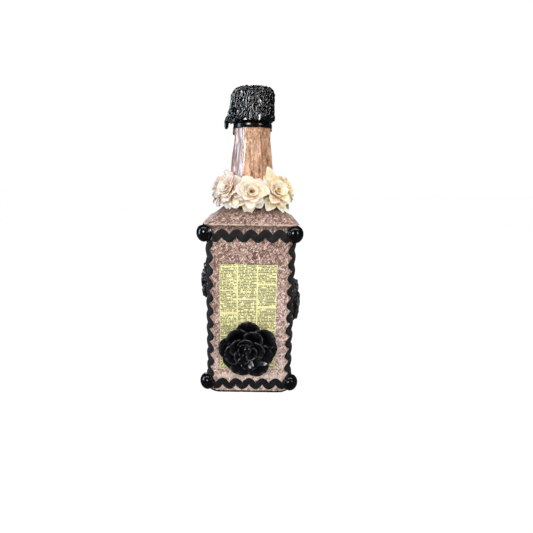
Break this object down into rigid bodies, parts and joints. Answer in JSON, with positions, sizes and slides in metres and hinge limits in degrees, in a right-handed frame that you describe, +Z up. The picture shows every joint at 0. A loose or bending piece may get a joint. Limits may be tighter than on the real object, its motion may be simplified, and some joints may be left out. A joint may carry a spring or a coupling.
{
  "type": "decorated whisky bottle",
  "caption": "Square spirits bottle dressed as an ornament: papered glass with wavy braid, corner knobs and flowers, closed by a screw cap under a coat of black drips.",
  "frame": {"origin": "middle of the flat base the bottle stands on", "axes": "+Z up along the bottle's axis, -Y out of the front face with the printed panel, +X to the right seen from the front"},
  "size_m": [0.0932, 0.0939, 0.2677],
  "materials": {
    "glass": "clear moulded bottle glass",
    "tissue": "crumpled dusty pink tissue with dark creases, sealed",
    "neck_paper": "tan streaked paper under glossy varnish",
    "newsprint": "yellowed printed paper with unreadable grey columns",
    "cap_black": "gloss black paint over rolled metal",
    "drip_coat": "hardened glossy black drips",
    "liner": "white foam sealing wad",
    "braid": "matte black woven wavy braid",
    "knob": "polished black",
    "black_flower": "glossy black paint, worn grey along the petal edges",
    "cream_petal": "soft cream paper with peach shading",
    "gold_heart": "golden brown rolled paper"
  },
  "bodies": {
    "bottle": {"glass_bottle": "glass", "body_wrap": "tissue", "shoulder_wrap": "tissue", "neck_wrap": "neck_paper", "newsprint_panel": "newsprint", "tamper_ring": "cap_black", "braid_top_front": "braid", "braid_top_right": "braid", "braid_top_back": "braid", "braid_top_left": "braid", "braid_foot_front": "braid", "braid_foot_right": "braid", "braid_foot_back": "braid", "braid_foot_left": "braid", "braid_corner_front_right": "braid", "braid_corner_back_right": "braid", "braid_corner_back_left": "braid", "braid_corner_front_left": "braid", "knob_top_front_right": "knob", "knob_top_front_left": "knob", "knob_foot_front_right": "knob", "knob_foot_front_left": "knob", "cream_flower_1_petals": "cream_petal", "cream_flower_1_heart": "gold_heart", "cream_flower_2_petals": "cream_petal", "cream_flower_2_heart": "gold_heart", "cream_flower_3_petals": "cream_petal", "cream_flower_3_heart": "gold_heart", "cream_flower_4_petals": "cream_petal", "cream_flower_4_heart": "gold_heart", "cream_flower_5_petals": "cream_petal", "cream_flower_5_heart": "gold_heart", "cream_flower_6_petals": "cream_petal", "cream_flower_6_heart": "gold_heart", "cream_flower_7_petals": "cream_petal", "cream_flower_7_heart": "gold_heart", "cream_flower_8_petals": "cream_petal", "cream_flower_8_heart": "gold_heart", "front_flower_outer_petals": "black_flower", "front_flower_inner_petals": "black_flower", "front_flower_heart": "black_flower", "right_flower_outer_petals": "black_flower", "right_flower_inner_petals": "black_flower", "right_flower_heart": "black_flower", "left_flower_outer_petals": "black_flower", "left_flower_inner_petals": "black_flower", "left_flower_heart": "black_flower"},
    "cap_seal": {"cap_liner": "liner"},
    "cap": {"screw_cap": "cap_black", "cap_drip_coat": "drip_coat"}
  },
  "joints": [
    {"name": "cap_lift", "type": "slide", "parent": "bottle", "child": "cap_seal", "axis": [0, 0, 1], "range_m": [0, 0.05]},
    {"name": "cap_turn", "type": "hinge", "parent": "cap_seal", "child": "cap", "pos_m": [0, 0, 0.25], "axis": [0, 0, 1], "range_deg": [0, 540]}
  ]
}
